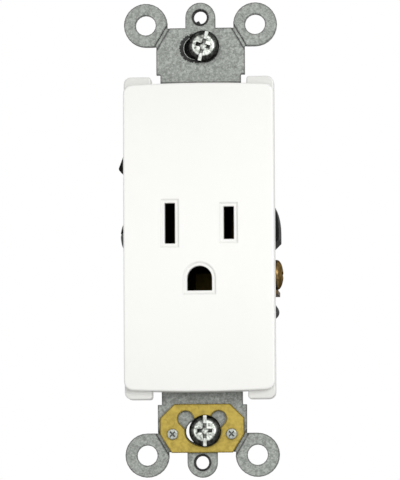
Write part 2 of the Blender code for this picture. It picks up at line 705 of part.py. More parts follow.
def make_rear_body():
    outline = rectangle((-BODY_HALF_X, -BODY_HALF_Z), (BODY_HALF_X, BODY_HALF_Z), BODY_CORNER)
    body = plate("rear_body", "front", [outline], BODY_FRONT, BODY_BACK, BODY_EDGE, 1)
    tower = rectangle((-TOWER_HALF_X, TOWER_BOTTOM_Z), (TOWER_HALF_X, TOWER_TOP_Z), TOWER_CORNER)
    join(body, plate("tower", "front", [tower], TOWER_TOP, BODY_FRONT + 2 * OVERLAP))
    front, back = BARRIER_FRONT_Y, BARRIER_BACK_Y
    for side, axis_z in ((1, HOT_TERMINAL_Z), (-1, NEUTRAL_TERMINAL_Z)):
        hump = hump_outline(side, axis_z + HUMP_ABOVE_SCREW)
        join(body, plate("hump", "front", [hump], front, back))
        centre = side * (BODY_HALF_X - BEAD_INSET)
        bead_z = axis_z - BEAD_BELOW_SCREW
        join(body, rod("bead", BEAD_RADIUS, (centre, front, bead_z), (centre, back, bead_z)))
    join(body, plate("fin", "front", [fin_outline()], FIN_FRONT_Y, FIN_BACK_Y))
    cut(body, *contact_cutters(1, HOT_SLOT_HEIGHT, HOT_TERMINAL_Z))
    cut(body, *contact_cutters(-1, NEUTRAL_SLOT_HEIGHT, NEUTRAL_TERMINAL_Z))
    cut(body, *terminal_cutters(1, HOT_TERMINAL_Z, False))
    cut(body, *terminal_cutters(-1, NEUTRAL_TERMINAL_Z, False))
    cut(body, *terminal_cutters(-1, GROUND_TERMINAL_Z, True))
    half = GROUND_LEAF_HEIGHT / 2 + CHAMBER_MARGIN
    cut(body, block("ground_chamber", (-GROUND_CHAMBER_HALF, TOWER_TOP - PAST, GROUND_Z - half),
                    (GROUND_CHAMBER_HALF, CHAMBER_FLOOR, GROUND_Z + half)))
    wide = GROUND_GRIP / 2 + SHEET + TOUCH
    leg, front = GROUND_LEG_Z - SHEET / 2 - TOUCH, BODY_FRONT - TOUCH / 2
    cut(body, block("ground_leg_slot", (-wide, front, leg), (wide, CHAMBER_FLOOR, GROUND_Z)))
    foot_end = 2 * GROUND_RIVET_Z - GROUND_LEG_Z - TOUCH
    foot_floor = TOUCH + SHEET + 2 * TOUCH + RIVET_HEAD
    start = BODY_FRONT - PAST
    cut(body, block("ground_foot_slot", (-wide, start, foot_end), (wide, foot_floor, GROUND_LEG_Z)))
    for x, z in assembly_places():
        end = (x, BODY_BACK + PAST, z)
        cut(body, rod("assembly_hole", ASSEMBLY_RADIUS + RUNNING, (x, start, z), end, 16))
        seat = BODY_BACK - ASSEMBLY_HEAD - 2 * TOUCH
        cut(body, rod("counterbore", ASSEMBLY_HEAD_RADIUS + RUNNING, (x, seat, z), end))
    return keep(body, BLACK)


# Contacts

def leaf_path(offset, floor, mouth):
    """Two leaves with flared mouths, joined across the floor."""
    lead, flare = mouth + LEAF_LEAD, offset + LEAF_FLARE * 0.8
    left = [(-flare, mouth), (-offset, lead), (-offset, floor)]
    return left + [(-x, y) for x, y in reversed(left)]


def make_blade_contact(name, side, slot_height, axis_z):
    """Folded strip that grips a blade, run out to a tapped plate for the terminal screw."""
    offset, floor = LEAF_GAP / 2 + SHEET / 2, CONTACT_FLOOR_Y - SHEET / 2
    mouth = CONTACT_MOUTH_Y
    path = leaf_path(offset, floor, mouth)
    path = [(side * BLADE_X + side * x, y) for x, y in path]
    half = slot_height / 2
    contact = strip(name, "top", path, BLADE_ROW_Z - half, BLADE_ROW_Z + half, SHEET)
    across = sorted((side * BLADE_X, side * (TERMINAL_X - SHEET / 2)))
    low, high = BLADE_ROW_Z - half + STRIP_SETBACK, BLADE_ROW_Z + half - STRIP_SETBACK
    join(contact, block("floor_strip", (across[0], CONTACT_FLOOR_Y - SHEET, low),
                        (across[1], CONTACT_FLOOR_Y, high)))
    low, high = terminal_span(slot_height, axis_z)
    across = sorted((side * (TERMINAL_X - SHEET), side * TERMINAL_X))
    front = TERMINAL_DEPTH - CLAMP_DEPTH / 2
    terminal = block("terminal_plate", (across[0], front, low), (across[1], CONTACT_FLOOR_Y, high))
    hole = TERMINAL_SHANK_RADIUS + RUNNING
    cut(terminal, rod("tapped_hole", hole, (side * (TERMINAL_X - PAST), TERMINAL_DEPTH, axis_z),
                      (side * (TERMINAL_X + PAST), TERMINAL_DEPTH, axis_z)))
    join(contact, terminal)
    return keep(contact, BRASS)


def make_ground_contact():
    """Strip riveted behind the strap that folds back and grips the ground pin from both sides."""
    offset, floor = GROUND_GRIP / 2 + SHEET / 2, CONTACT_FLOOR_Y - SHEET / 2
    mouth = CONTACT_MOUTH_Y
    half = GROUND_LEAF_HEIGHT / 2
    path = leaf_path(offset, floor, mouth)
    contact = strip("ground_contact", "top", path, GROUND_Z - half, GROUND_Z + half, SHEET)
    foot = 2 * GROUND_RIVET_Z - GROUND_LEG_Z
    level = TOUCH + SHEET / 2
    path = [(level, foot), (level, GROUND_LEG_Z), (floor, GROUND_LEG_Z), (floor, GROUND_Z)]
    leg = strip("ground_leg", "side", path, -offset * 0.9, offset * 0.9, SHEET)
    place = (0, -PAST, GROUND_RIVET_Z), (0, PAST, GROUND_RIVET_Z)
    cut(leg, rod("foot_hole", RIVET_RADIUS + RUNNING, *place, 14))
    join(contact, leg)
    return keep(contact, BRASS)


# Terminals

def make_clamp_plate(name, side, axis_z, finish, out=0.0):
    """Pressure plate under a terminal screw, with its lower edge turned out, backed out by out."""
    level = CLAMP_X + CLAMP_SHEET / 2
    lip = -TERMINAL_HEAD_RADIUS - TOUCH - CLAMP_SHEET / 2
    path = [(level, CLAMP_TOP), (level, lip), (level + CLAMP_LIP - CLAMP_SHEET / 2, lip)]
    path = [(side * (x - SEAT_X), z) for x, z in path]
    clamp = strip(name, "front", path, -CLAMP_DEPTH / 2, CLAMP_DEPTH / 2, CLAMP_SHEET)
    clamp.location = (side * (SEAT_X + out), TERMINAL_DEPTH, axis_z)
    start, end = side * (CLAMP_X + out - OVERLAP), side * (SEAT_X + out + OVERLAP)
    cut(clamp, rod("clamp_hole", TERMINAL_SHANK_RADIUS + RUNNING, (start, TERMINAL_DEPTH, axis_z),
                   (end, TERMINAL_DEPTH, axis_z)))
    return keep(clamp, finish)


def recess(part, place, outward, height, turn, reach):
    """Combined slot and cross for a driver in the top of a screw head."""
    narrow = RECESS_WIDTH * 0.9
    shapes = [(RECESS_WIDTH, 2 * reach, RECESS_DEPTH)]
    shapes += [(narrow, CROSS_LENGTH, CROSS_DEPTH), (CROSS_LENGTH, narrow, CROSS_DEPTH)]
    for across, along, depth in shapes:
        low, high = (-across / 2, -along / 2, height - depth), (across / 2, along / 2, height + OVERLAP)
        tool = block("driver", low, high)
        tool.data.transform(tool.matrix_world)
        tool.data.transform(Matrix.Rotation(turn, 4, "Z"))
        tool.location = place
        tool.rotation_euler = OUTWARD[outward]
        cut(part, tool)


def make_terminal_screw(name, side, axis_z, finish, turn, out=0.0):
    """Binding-head screw; its axis lies along X and its head bears on the clamp plate."""
    head, edge = TERMINAL_HEAD_RADIUS, TERMINAL_HEAD_EDGE
    dome = arc((0, edge), (head, TERMINAL_HEAD_DOME), 90, 0, 7)
    dome[0] = (0, edge + TERMINAL_HEAD_DOME)
    shank, length = TERMINAL_SHANK_RADIUS, TERMINAL_SHANK_LENGTH
    profile = dome + [(head, 0), (shank, 0), (shank, -length + TERMINAL_POINT)]
    profile += [(shank - TERMINAL_POINT, -length), (0, -length)]
    outward = "+x" if side > 0 else "-x"
    place = (side * (SEAT_X + out), TERMINAL_DEPTH, axis_z)
    screw = turned(name, profile, place, outward)
    recess(screw, place, outward, edge + TERMINAL_HEAD_DOME, turn, head + PAST)
    return keep(screw, finish)


# Box screws, washer and assembly screws

def make_box_screw(name, level, seat, turn):
    """Screw that holds the strap to the wall box; local +Z points out of the wall."""
    head, height, shank = BOX_SCREW_HEAD_RADIUS, BOX_SCREW_HEAD, BOX_SCREW_RADIUS
    profile = [(0, height)] + arc((head * 0.62, height * 0.35), (head * 0.38, height * 0.65), 90, 0, 6)
    profile += [(head * 0.97, 0), (shank, 0), (shank, -BOX_SCREW_LENGTH + BOX_SCREW_POINT)]
    profile += [(shank - BOX_SCREW_POINT, -BOX_SCREW_LENGTH), (0, -BOX_SCREW_LENGTH)]
    place = (BOX_SCREW_OFFSET, seat, level)
    screw = turned(name, profile, place, "-y")
    recess(screw, place, "-y", height, turn, head + PAST)
    return keep(screw, ZINC)


def make_retaining_washer():
    """Fibre washer behind the strap that keeps the upper box screw from falling out."""
    half_x, half_z = WASHER_WIDTH / 2, WASHER_HEIGHT / 2
    outline = rectangle((-half_x, -half_z), (half_x, half_z), half_z * 0.5)
    hole = circle((0, 0), BOX_SCREW_RADIUS + RUNNING)
    washer = plate("retaining_washer", "front", [outline, hole], TOUCH, TOUCH + WASHER_THICKNESS)
    washer.location.x = BOX_SCREW_OFFSET
    washer.location.z = BOX_SCREW_Z + TOP_SCREW_RISE
    return keep(washer, FIBRE)


def make_assembly_screw(name, x, z):
    """Long screw from the back of the body into a boss of the cover."""
    seat = BODY_BACK - ASSEMBLY_HEAD - TOUCH
    head, height = ASSEMBLY_HEAD_RADIUS, ASSEMBLY_HEAD
    shank, length = ASSEMBLY_RADIUS, seat - ASSEMBLY_TIP_Y
    profile = [(0, height)] + arc((head * 0.7, height * 0.4), (head * 0.3, height * 0.6), 90, 0, 3)
    profile += [(head, 0), (shank, 0), (shank, -length + ASSEMBLY_POINT)]
    profile += [(shank * 0.4, -length), (0, -length)]
    screw = turned(name, profile, (x, seat, z), "+y", 18)
    return keep(screw, ZINC)


clear_scene()
OUTLET = collection("single_outlet")
CUTTERS = collection("cutters")
WHITE = material("white_nylon", (0.90, 0.90, 0.89), 0.35)
BLACK = material("black_thermoset", (0.02, 0.02, 0.02), 0.45)
STEEL = material("galvanised_steel", (0.42, 0.42, 0.43), 0.45, 1.0)
ZINC = material("bright_zinc", (0.72, 0.73, 0.75), 0.25, 1.0)
BRASS = material("brass", (0.62, 0.43, 0.11), 0.32, 1.0)
GREEN = material("green_plated_steel", (0.05, 0.25, 0.10), 0.35, 1.0)
FIBRE = material("black_fibre", (0.03, 0.03, 0.03), 0.8)

make_face_cover()
make_mounting_strap()
make_rear_body()
make_ground_clip()
for label, spot in zip(("left", "right"), clip_rivet_places()):
    make_rivet(f"clip_rivet_{label}", spot, CLIP_FRONT, 0)
make_rivet("ground_contact_rivet", (0, GROUND_RIVET_Z), STRAP_FRONT, TOUCH + SHEET)
make_blade_contact("hot_contact", 1, HOT_SLOT_HEIGHT, HOT_TERMINAL_Z)
make_blade_contact("neutral_contact", -1, NEUTRAL_SLOT_HEIGHT, NEUTRAL_TERMINAL_Z)
make_ground_contact()
make_clamp_plate("hot_clamp_plate", 1, HOT_TERMINAL_Z, BRASS)
make_clamp_plate("neutral_clamp_plate", -1, NEUTRAL_TERMINAL_Z, ZINC, NEUTRAL_BACKED_OUT)
make_clamp_plate("ground_clamp_plate", -1, GROUND_TERMINAL_Z, STEEL)
make_terminal_screw("hot_terminal_screw", 1, HOT_TERMINAL_Z, BRASS, HOT_SCREW_TURN)
make_terminal_screw("neutral_terminal_screw", -1, NEUTRAL_TERMINAL_Z, ZINC, NEUTRAL_SCREW_TURN,
                    NEUTRAL_BACKED_OUT)
make_terminal_screw("ground_terminal_screw", -1, GROUND_TERMINAL_Z, GREEN, GROUND_SCREW_TURN)
make_box_screw("mounting_screw_top", BOX_SCREW_Z + TOP_SCREW_RISE, STRAP_FRONT - TOUCH, -TOP_SCREW_TURN)
make_box_screw("mounting_screw_bottom", -BOX_SCREW_Z, CLIP_FRONT - TOUCH, 0)
make_retaining_washer()
for label, (x, z) in zip(("upper_left", "upper_right", "lower_left", "lower_right"), assembly_places()):
    make_assembly_screw(f"assembly_screw_{label}", x, z)
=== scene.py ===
"""Looks of a single decorator wall outlet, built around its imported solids.

Lengths are in metres. X runs to the right, Z up, and the front faces -Y.
"""

import math
from typing import NamedTuple

import bmesh
import bpy
from bpy.props import FloatProperty, FloatVectorProperty, PointerProperty
from bpy.types import Operator, Panel, PropertyGroup
from mathutils import Matrix, Vector


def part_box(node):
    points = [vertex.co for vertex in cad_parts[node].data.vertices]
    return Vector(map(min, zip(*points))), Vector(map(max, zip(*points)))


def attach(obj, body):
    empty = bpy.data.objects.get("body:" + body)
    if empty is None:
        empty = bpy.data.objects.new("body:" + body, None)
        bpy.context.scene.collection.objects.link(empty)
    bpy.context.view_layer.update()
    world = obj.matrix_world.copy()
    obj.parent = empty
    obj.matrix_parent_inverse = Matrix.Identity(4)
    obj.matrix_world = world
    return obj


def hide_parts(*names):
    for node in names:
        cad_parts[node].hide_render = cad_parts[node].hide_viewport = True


bl_info = {
    "name": "Single Wall Outlet",
    "version": (1, 0, 0),
    "blender": (4, 5, 0),
    "location": "View3D > Sidebar > Outlet",
    "description": "Finishes, threaded screws and studio for a single decorator wall outlet",
    "category": "Object",
}

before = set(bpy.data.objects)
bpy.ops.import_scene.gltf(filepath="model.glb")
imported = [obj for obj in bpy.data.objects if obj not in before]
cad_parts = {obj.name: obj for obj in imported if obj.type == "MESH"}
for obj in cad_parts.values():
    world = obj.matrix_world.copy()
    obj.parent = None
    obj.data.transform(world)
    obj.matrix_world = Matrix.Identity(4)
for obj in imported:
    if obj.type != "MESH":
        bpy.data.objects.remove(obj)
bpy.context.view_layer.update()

BODY = "receptacle"
X_AXIS, Y_AXIS = 0, 1


# Sizes and colours

def colour_property(label, words, value):
    """A colour that a user may change."""
    return FloatVectorProperty(name=label, description=words, subtype="COLOR",
                               size=3, min=0, max=1, default=value)


def length_property(label, words, value):
    """A length that a user may change."""
    return FloatProperty(name=label, description=words, subtype="DISTANCE",
                         unit="LENGTH", default=value, precision=5)


def angle_property(label, words, degrees):
    """An angle that a user may change."""
    return FloatProperty(name=label, description=words, subtype="ANGLE",
                         default=math.radians(degrees))


class OutletFinish(PropertyGroup):
    """Base colours of the outlet's materials"""
    nylon: colour_property("Nylon", "Colour of the moulded face", (0.945, 0.945, 0.915))
    thermoset: colour_property("Wiring body", "Colour of the moulded wiring body",
                               (0.004, 0.004, 0.0045))
    steel: colour_property("Galvanised steel", "Colour of the mounting strap",
                           (0.27, 0.285, 0.265))
    brass: colour_property("Brass", "Colour of the grounding clip and the contacts",
                           (0.43, 0.325, 0.074))
    aged_brass: colour_property("Aged brass", "Colour of the hot terminal",
                                (0.22, 0.142, 0.054))
    zinc: colour_property("Bright zinc", "Colour of the plated screws", (0.59, 0.62, 0.57))
    dull_zinc: colour_property("Dull zinc", "Colour of the neutral screw", (0.20, 0.21, 0.20))
    green: colour_property("Green plate", "Colour of the ground screw", (0.04, 0.23, 0.08))
    fibre: colour_property("Fibre", "Colour of the retaining washer", (0.02, 0.02, 0.02))


class OutletSizes(PropertyGroup):
    """Sizes of the outlet's details"""
    box_pitch: length_property("Box screw pitch", "Thread pitch of the two box screws",
                               0.00079375)
    terminal_pitch: length_property("Terminal pitch", "Thread pitch of the terminal screws",
                                    0.00079375)
    assembly_pitch: length_property("Assembly pitch", "Thread pitch of the assembly screws",
                                    0.0011)
    thread_depth: length_property("Thread depth", "Depth of a thread below its crest", 0.00042)
    driver_width: length_property("Driver slot", "Width of the driver slot in a screw head",
                                  0.0010)
    edge_break: length_property("Edge break", "Rounding of the sheared sheet edges", 0.00005)
    # the dark line along the sheared edges is partly their bare metal and partly painted shade
    edge_shade: length_property("Edge shade",
                                "Width of the dark line along the sheared sheet edges", 0.00055)
    face_height: length_property("Face height", "Height of the face without its lugs", 0.0667)
    strap: length_property("Strap", "Thickness of the mounting strap", 0.0013)
    plate_screws: length_property("Plate screws", "Between the holes for the wall plate", 0.0968)
    box_screws: length_property("Box screws", "Between the two box screws", 0.0833)
    slot_length: length_property("Slot length", "Length of a box-screw slot", 0.0072)
    slot_width: length_property("Slot width", "Width of a box-screw slot", 0.0049)


class OutletStudio(PropertyGroup):
    """Camera and floor of the studio"""
    distance: length_property("Distance", "Camera to the middle of the strap", 0.9)
    focal: FloatProperty(name="Focal length", description="Lens of the camera", unit="CAMERA",
                         default=311.08)
    tilt: angle_property("Tilt", "How far the view looks up", 4.96)
    swing: angle_property("Swing", "How far the view is turned to the right side", 3.81)
    roll: angle_property("Roll", "Roll of the view", 0.30)
    floor_drop: length_property("Floor", "Height of the studio floor", -0.16)


# Materials

EDGE_SAMPLES = 6
FLAT_COSINE, EDGE_COSINE = 0.985, 0.92  # between rounded and flat normal, off and on an edge
SHELTER_SAMPLES = 8

# Stops of colour ramps: (position, shade)
# painted shade: the nylon darker the deeper it lies behind the face's front
DEPTH_PAINTED_SHADE = (0.0, 1.0), (0.05, 0.955), (0.10, 0.93), (0.28, 0.80), (1.0, 0.70)
# painted shade where another piece stands close
CONTACT_PAINTED_SHADE = (0.35, 0.10), (0.6, 0.45), (0.92, 1.0)
# painted shadow on the strap where it goes under the face
TUCK_PAINTED_SHADOW = (0.0, 1.0), (0.1, 0.3), (0.9, 0.35), (1.0, 1.0)
# painted dark reflection on a screw's flank
FLANK_PAINTED_REFLECTION = (0.0, 1.0), (0.12, 0.8), (0.25, 0.05), (0.9, 0.02), (1.0, 0.10)
# painted highlight in a cross's centre, painted shade on its arms
CROSS_PAINTED_LIGHT = (0.0, 1.0), (0.28, 0.9), (0.42, 0.28), (1.0, 0.42)

MOULDED_EDGE = 0.00045  # width of the painted shade along the edges of the face
SHADOW_BELOW, SHADOW_ABOVE = 0.002, 0.0011  # reach of the painted shadow band on the strap at the face's upper edge
FLANK_START = 0.6  # where the painted dark reflection on a screw's flank starts, over its rim's radius
CROSS_SPAN = 0, 0.0018  # distances from the axis between which a cross gets painted light and shade
TINTED_GLOSS = (0.3, 0.3, 0.3, 1)


class Finish:
    """A Principled material with nodes for mottling, grain and relief."""

    def __init__(self, name, colour, roughness, metallic=0.0):
        self.material = bpy.data.materials.new(name)
        self.material.use_nodes = True
        self.nodes = self.material.node_tree.nodes
        self.links = self.material.node_tree.links
        self.shader = self.nodes["Principled BSDF"]
        self.colour = tuple(colour)
        self.shader.inputs["Base Color"].default_value = (*self.colour, 1)
        self.shader.inputs["Roughness"].default_value = roughness
        self.shader.inputs["Metallic"].default_value = metallic
        self.place = self.nodes.new("ShaderNodeTexCoord")
        self.height = None

    def noise(self, scale, detail, distortion=0.0, stretch=None):
        """Noise on the piece's own coordinates, drawn out where stretch is set."""
        texture = self.nodes.new("ShaderNodeTexNoise")
        texture.inputs["Scale"].default_value = scale
        texture.inputs["Detail"].default_value = detail
        texture.inputs["Distortion"].default_value = distortion
        source = self.place.outputs["Object"]
        if stretch:
            mapping = self.nodes.new("ShaderNodeMapping")
            mapping.inputs["Scale"].default_value = stretch
            self.links.new(source, mapping.inputs["Vector"])
            source = mapping.outputs["Vector"]
        self.links.new(source, texture.inputs["Vector"])
        return texture.outputs["Fac"]

    def spangle(self, scale):
        """Zinc crystals, each of one shade."""
        texture = self.nodes.new("ShaderNodeTexVoronoi")
        texture.inputs["Scale"].default_value = scale
        self.links.new(self.place.outputs["Object"], texture.inputs["Vector"])
        split = self.nodes.new("ShaderNodeSeparateColor")
        self.links.new(texture.outputs["Color"], split.inputs["Color"])
        return split.outputs["Red"]

    def ramp(self, source, stops):
        """The source through a ramp of (position, colour or grey shade) stops."""
        ramp = self.nodes.new("ShaderNodeValToRGB")
        elements = ramp.color_ramp.elements
        while len(elements) < len(stops):
            elements.new(0.5)
        for element, (position, shade) in zip(elements, stops):
            element.position = position
            element.color = (*shade, 1) if isinstance(shade, tuple) else (shade, shade, shade, 1)
        self.links.new(source, ramp.inputs["Fac"])
        return ramp.outputs["Color"]

    def ranged(self, source, start=0.0, end=1.0, low=0.0, high=1.0):
        """The source spread from start and end to low and high, and held between them."""
        limits = self.nodes.new("ShaderNodeMapRange")
        limits.inputs["From Min"].default_value = start
        limits.inputs["From Max"].default_value = end
        limits.inputs["To Min"].default_value = low
        limits.inputs["To Max"].default_value = high
        self.links.new(source, limits.inputs["Value"])
        return limits.outputs["Result"]

    def blended(self, first, second, share, mode="MIX"):
        """The second colour laid on the first, by a share or by another node's value."""
        mix = self.nodes.new("ShaderNodeMix")
        mix.data_type = "RGBA"
        mix.blend_type = mode
        if isinstance(share, float):
            mix.inputs["Factor"].default_value = share
        else:
            self.links.new(share, mix.inputs["Factor"])
        self.links.new(first, mix.inputs["A"])
        self.links.new(second, mix.inputs["B"])
        return mix.outputs["Result"]

    def shades(self, *factors):
        """Darker and lighter shades of the base colour."""
        return [tuple(min(channel * factor, 1.0) for channel in self.colour)
                for factor in factors]

    def paint(self, source):
        """Sets the colour."""
        self.links.new(source, self.shader.inputs["Base Color"])

    def gloss(self, source, low, high):
        """Sets the roughness, which wanders between two values."""
        self.links.new(self.ranged(source, low=low, high=high), self.shader.inputs["Roughness"])

    def relief(self, source, strength, distance):
        """Adds fine relief on top of any before it."""
        bump = self.nodes.new("ShaderNodeBump")
        bump.inputs["Strength"].default_value = strength
        bump.inputs["Distance"].default_value = distance
        self.links.new(source, bump.inputs["Height"])
        if self.height:
            self.links.new(self.height, bump.inputs["Normal"])
        self.height = bump.outputs["Normal"]
        self.links.new(self.height, self.shader.inputs["Normal"])

    def edges(self, width):
        """One on the edges of a piece, falling to nought at width from them."""
        bevel = self.nodes.new("ShaderNodeBevel")
        bevel.samples = EDGE_SAMPLES
        bevel.inputs["Radius"].default_value = width
        geometry = self.nodes.new("ShaderNodeNewGeometry")
        turn = self.nodes.new("ShaderNodeVectorMath")
        turn.operation = "DOT_PRODUCT"
        self.links.new(bevel.outputs["Normal"], turn.inputs[0])
        self.links.new(geometry.outputs["True Normal"], turn.inputs[1])
        return self.ranged(turn.outputs["Value"], FLAT_COSINE, EDGE_COSINE)

    def along(self, axis, near, far):
        """Nought at near and one at far, along one of the piece's own axes."""
        split = self.nodes.new("ShaderNodeSeparateXYZ")
        self.links.new(self.place.outputs["Object"], split.inputs["Vector"])
        return self.ranged(split.outputs[axis], near, far)

    def shelter(self, reach):
        """One in the open, falling where another piece stands within reach."""
        sky = self.nodes.new("ShaderNodeAmbientOcclusion")
        sky.samples = SHELTER_SAMPLES
        sky.inputs["Distance"].default_value = reach
        return sky.outputs["AO"]

    def radius(self, axis):
        """Distance from the piece's own axis, in its own coordinates."""
        flat = self.nodes.new("ShaderNodeVectorMath")
        flat.operation = "MULTIPLY"
        flat.inputs[1].default_value = [0 if i == axis else 1 for i in range(3)]
        self.links.new(self.place.outputs["Object"], flat.inputs[0])
        length = self.nodes.new("ShaderNodeVectorMath")
        length.operation = "LENGTH"
        self.links.new(flat.outputs["Vector"], length.inputs[0])
        return length.outputs["Value"]


def times(colour, factor):
    """A colour made darker or lighter."""
    return [channel * factor for channel in colour]


def nylon_finish(colour, front):
    """White nylon, with painted shade that darkens it with depth behind the front and along its
    edges.
    """
    finish = Finish("white_nylon", colour, roughness=0.32)
    flow = finish.noise(scale=38, detail=3, distortion=0.4)
    light, dark = finish.shades(1.0, 0.985)
    moulded = finish.ramp(flow, [(0.3, dark), (0.7, light)])
    # painted shade by depth behind the front, on the lugs, the crowned face's ends and the side
    # walls
    depth_shade = finish.ramp(finish.along("Y", front, 0), DEPTH_PAINTED_SHADE)
    moulded = finish.blended(moulded, depth_shade, 1.0, "MULTIPLY")
    # painted shade along the rounded edges of the face
    dark, light = finish.shades(0.74, 0.82)
    shaded = finish.ramp(flow, [(0.3, dark), (0.7, light)])
    finish.paint(finish.blended(moulded, shaded, finish.edges(MOULDED_EDGE)))
    finish.gloss(finish.noise(scale=900, detail=5), low=0.28, high=0.38)
    finish.relief(finish.noise(scale=2600, detail=2), strength=0.05, distance=0.00003)
    finish.shader.inputs["Subsurface Weight"].default_value = 0.05
    finish.shader.inputs["Subsurface Radius"].default_value = (0.0008, 0.0008, 0.0007)
    return finish.material


def thermoset_finish(colour):
    """Dull black moulding compound."""
    finish = Finish("black_thermoset", colour, roughness=0.42)
    flow = finish.noise(scale=120, detail=4, distortion=0.6)
    dark, light = finish.shades(0.7, 1.6)
    finish.paint(finish.ramp(flow, [(0.35, dark), (0.75, light)]))
    finish.gloss(finish.noise(scale=700, detail=4), low=0.62, high=0.85)
    finish.relief(finish.noise(scale=1800, detail=3), strength=0.12, distance=0.00005)
    finish.shader.inputs["Specular IOR Level"].default_value = 0.25
    return finish.material


def edged(finish, sheet, edge, reach, edge_lightest):
    """Sheet metal with dark sheared edges, partly their bare metal and partly painted shade, and
    painted shade where it meets another piece.
    """
    dark, light = finish.shades(0.10, edge_lightest)
    black = finish.ramp(finish.noise(scale=1300, detail=3), [(0.3, dark), (0.7, light)])
    sheet = finish.blended(sheet, black, finish.edges(edge))
    # painted shade from ambient occlusion, darkest where pieces meet
    contact_shade = finish.ramp(finish.shelter(edge * reach), CONTACT_PAINTED_SHADE)
    return finish.blended(sheet, contact_shade, 1.0, "MULTIPLY")


def steel_finish(name, colour, edge=0.0, tucked=0.0):
    """Galvanised sheet: cloudy grey with small spangles, and a painted shadow where it is tucked
    under the face.
    """
    finish = Finish(name, colour, roughness=0.5, metallic=0.7)
    dark, middle, light = finish.shades(0.55, 1.0, 1.6)
    cloud = finish.ramp(finish.noise(scale=1300, detail=6, distortion=0.4),
                        [(0.30, dark), (0.5, middle), (0.72, light)])
    crystal = finish.ramp(finish.spangle(scale=3600),
                          [(0.0, dark), (0.55, middle), (1.0, light)])
    sheet = finish.blended(cloud, crystal, 0.5)
    if tucked:
        # painted shadow: a dark band on the strap along the face's upper edge
        rise = finish.along("Z", tucked - SHADOW_BELOW, tucked + SHADOW_ABOVE)
        sheet = finish.blended(sheet, finish.ramp(rise, TUCK_PAINTED_SHADOW), 1.0, "MULTIPLY")
    if edge:
        sheet = edged(finish, sheet, edge, reach=0.8, edge_lightest=0.30)
    finish.paint(sheet)
    finish.gloss(finish.noise(scale=1800, detail=5), low=0.42, high=0.62)
    finish.relief(finish.noise(scale=3000, detail=4), strength=0.2, distance=0.00005)
    return finish.material


def brass_finish(name, colour, edge=0.0):
    """Rolled brass with darker tarnish clouds and fine rolling marks."""
    finish = Finish(name, colour, roughness=0.34, metallic=0.9)
    dark, middle, light = finish.shades(0.80, 1.0, 1.18)
    cloud = finish.ramp(finish.noise(scale=1100, detail=6, distortion=0.5),
                        [(0.38, dark), (0.5, middle), (0.64, light)])
    marks = finish.ramp(finish.noise(scale=1400, detail=3, stretch=(0.2, 1, 1)),
                        [(0.3, dark), (0.7, light)])
    sheet = finish.blended(cloud, marks, 0.25)
    if edge:
        sheet = edged(finish, sheet, edge, reach=1.0, edge_lightest=0.35)
    finish.paint(sheet)
    finish.gloss(finish.noise(scale=900, detail=5), low=0.25, high=0.48)
    finish.relief(finish.noise(scale=1600, detail=3), strength=0.12, distance=0.00004)
    finish.shader.inputs["Specular Tint"].default_value = TINTED_GLOSS
    return finish.material


class Shading(NamedTuple):
    """Painted light and shade of a turned piece by the distance from its axis."""
    axis: int
    span: tuple
    stops: tuple
    share: float


def plated_finish(name, colour, low=0.25, shading=None):
    """Plated metal with tarnish clouds as dark as low, and painted light and shade where shading is
    set.
    """
    finish = Finish(name, colour, roughness=0.28, metallic=0.95)
    dark, middle, light = finish.shades(low, 1.0, 1.6)
    plate = finish.ramp(finish.noise(scale=1100, detail=5, distortion=0.8),
                        [(0.36, dark), (0.5, middle), (0.62, light)])
    if shading:
        reach = finish.ranged(finish.radius(shading.axis), *shading.span)
        shade = finish.ramp(reach, shading.stops)
        plate = finish.blended(plate, shade, shading.share, "MULTIPLY")
    finish.paint(plate)
    finish.gloss(finish.noise(scale=900, detail=4), low=0.20, high=0.40)
    finish.relief(finish.noise(scale=2200, detail=3), strength=0.10, distance=0.00004)
    finish.shader.inputs["Specular Tint"].default_value = TINTED_GLOSS
    return finish.material


def screw_finishes(name, colour, rim, axis, share=0.95, low=0.25):
    """Finishes of a screw: its surface with a painted dark reflection on its flank, and its
    recess's slot floor with painted light, walls with painted shade and cross floor with a painted
    bright centre.
    """
    flank = Shading(axis, (rim * FLANK_START, rim), FLANK_PAINTED_REFLECTION, share)
    centre = Shading(axis, CROSS_SPAN, CROSS_PAINTED_LIGHT, 1.0)
    surface = plated_finish(name, colour, low, flank)
    # painted light on the slot floor and painted shade on its walls
    floor = plated_finish(f"{name}_recess", times(colour, 1.25), low=0.8)
    wall = plated_finish(f"{name}_recess_wall_shade", times(colour, 0.16))
    cross = plated_finish(f"{name}_cross", colour, shading=centre)
    return surface, floor, wall, cross


def fibre_finish(colour):
    """Black fibre sheet with a coarse felted face."""
    finish = Finish("black_fibre", colour, roughness=0.8)
    dark, light = finish.shades(0.6, 2.2)
    felt = finish.noise(scale=1100, detail=6, distortion=0.5)
    finish.paint(finish.ramp(felt, [(0.35, dark), (0.7, light)]))
    finish.gloss(finish.noise(scale=600, detail=4), low=0.7, high=0.9)
    finish.relief(finish.noise(scale=2000, detail=5), strength=0.4, distance=0.00008)
    return finish.material


def dress(node, finish):
    """Gives a carried-over solid its finish."""
    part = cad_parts[node]
    part.data.materials.clear()
    part.data.materials.append(finish)
    return part


def soften(part, width):
    """Rounds the sharp edges of a sheet part a little."""
    bevel = part.modifiers.new("Edge break", "BEVEL")
    bevel.width = width
    bevel.segments = 2
    bevel.limit_method = "ANGLE"
    bevel.angle_limit = math.radians(50)
    bevel.harden_normals = True
    return part


# Meshes of screws and rivets

FLOOR, WALL, CROSS = 1, 2, 3  # material slots of a driver recess, which carry its painted light and shade
OUTWARD = {
    "+x": Matrix.Rotation(math.pi / 2, 4, "Y"),
    "-x": Matrix.Rotation(-math.pi / 2, 4, "Y"),
    "-y": Matrix.Rotation(math.pi / 2, 4, "X"),
    "+y": Matrix.Rotation(-math.pi / 2, 4, "X"),
}

